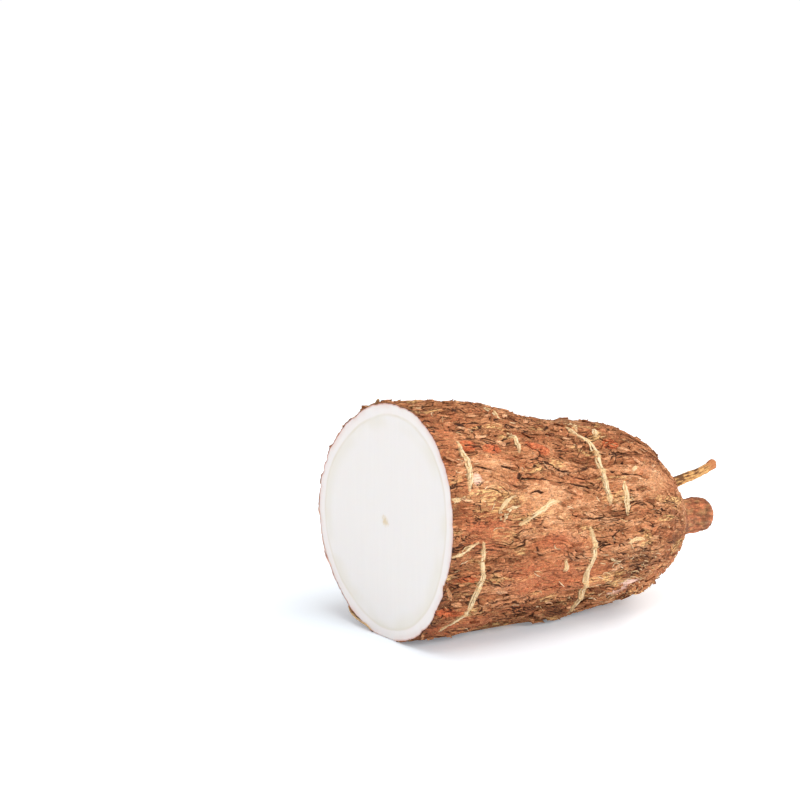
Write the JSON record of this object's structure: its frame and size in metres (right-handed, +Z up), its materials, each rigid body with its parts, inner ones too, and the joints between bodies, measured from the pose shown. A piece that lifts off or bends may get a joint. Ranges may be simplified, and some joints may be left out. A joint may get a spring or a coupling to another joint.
{
  "type": "cassava root",
  "caption": "Length of brown-barked cassava root cut square across its thick end, showing white flesh, and tapering to a short broken tail with a thin side root.",
  "frame": {"origin": "centre of the bottom face of the box that the piece fills, on the surface it lies on", "axes": "+Z up; +X along the root, from the cut end to the tail; +Y across it, away from the side seen in the picture"},
  "size_m": [0.133, 0.0761, 0.0749],
  "materials": {
    "bark": "rough flaking brown bark with pale corky scars",
    "flesh": "moist matte white flesh at the cut",
    "cork": "pale rough cork of the scars, threads and torn edges"
  },
  "bodies": {
    "root": {"cassava_root": "bark"}
  },
  "joints": []
}
